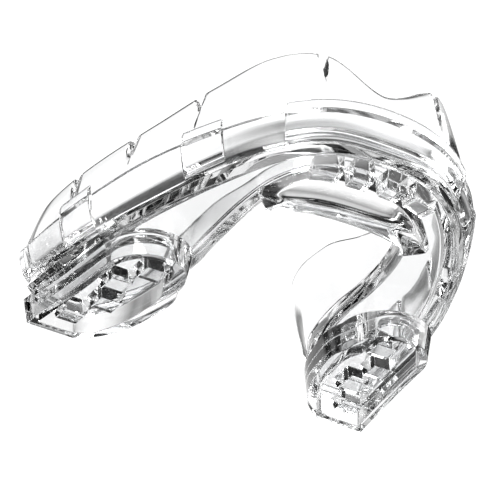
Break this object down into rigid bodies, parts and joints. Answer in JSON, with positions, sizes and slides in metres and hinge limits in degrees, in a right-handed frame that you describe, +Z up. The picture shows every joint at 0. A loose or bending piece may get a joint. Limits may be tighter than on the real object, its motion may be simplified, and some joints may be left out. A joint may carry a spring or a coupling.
{
  "type": "boxing mouthguard",
  "caption": "Clear upper-jaw mouthguard with a tall notched lip flange, an outer band with flush tabs, and stepped D-shaped bite pads under the molars.",
  "frame": {"origin": "centre of the guard's outline, on the surface that its two bite pads rest on", "axes": "+X to the wearer's left when worn on the upper teeth, across both legs; -Y towards the lips; +Z up, the way the tooth channel opens"},
  "size_m": [0.0594, 0.0532, 0.0247],
  "materials": {
    "clear_liner": "crystal clear soft liner, polished",
    "clear_frame": "crystal clear firm frame, polished",
    "clear_pad": "crystal clear bite pad, polished facets",
    "clear_insert": "crystal clear insert, polished"
  },
  "bodies": {
    "root": {"labial_flange": "clear_liner", "lingual_flange": "clear_liner", "bite_floor": "clear_liner", "frame_band": "clear_frame", "bite_plate": "clear_frame", "front_tab": "clear_insert", "mid_tab_right": "clear_insert", "mid_tab_left": "clear_insert", "rear_tab_right": "clear_insert", "rear_tab_left": "clear_insert", "inner_front_block_right": "clear_pad", "inner_front_block_left": "clear_pad", "outer_front_block_right": "clear_pad", "outer_front_block_left": "clear_pad", "tongue_lip": "clear_pad", "pad_rim_right": "clear_pad", "pad_rim_left": "clear_pad", "pad_floor_right": "clear_pad", "pad_floor_left": "clear_pad", "pad_step_1_right": "clear_pad", "pad_step_1_left": "clear_pad", "pad_step_2_right": "clear_pad", "pad_step_2_left": "clear_pad", "pad_step_3_right": "clear_pad", "pad_step_3_left": "clear_pad", "pad_step_4_right": "clear_pad", "pad_step_4_left": "clear_pad"}
  },
  "joints": []
}
